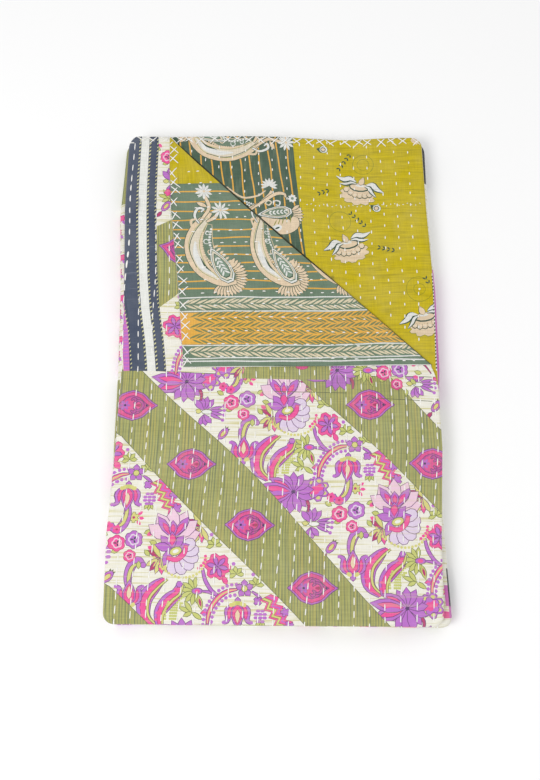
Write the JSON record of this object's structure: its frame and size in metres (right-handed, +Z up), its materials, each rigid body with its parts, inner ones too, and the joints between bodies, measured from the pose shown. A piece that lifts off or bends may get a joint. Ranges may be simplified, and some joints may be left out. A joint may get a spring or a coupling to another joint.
{
  "type": "kantha quilt",
  "caption": "Hand-quilted patchwork cotton throw folded into a flat rectangular packet, a far corner of its top layer turned back to show the other face.",
  "frame": {"origin": "on the surface that the packet rests on, under the middle of its box", "axes": "+Z up; +Y along the packet's length, from its near folds towards its far free edges; +X across its width, with the turned-back corner coming from +X"},
  "size_m": [0.3788, 0.5768, 0.0301],
  "materials": {
    "quilted_cotton": "matte hand-quilted printed cotton, lightly slubbed"
  },
  "bodies": {
    "root": {"quilt": "quilted_cotton"}
  },
  "joints": []
}
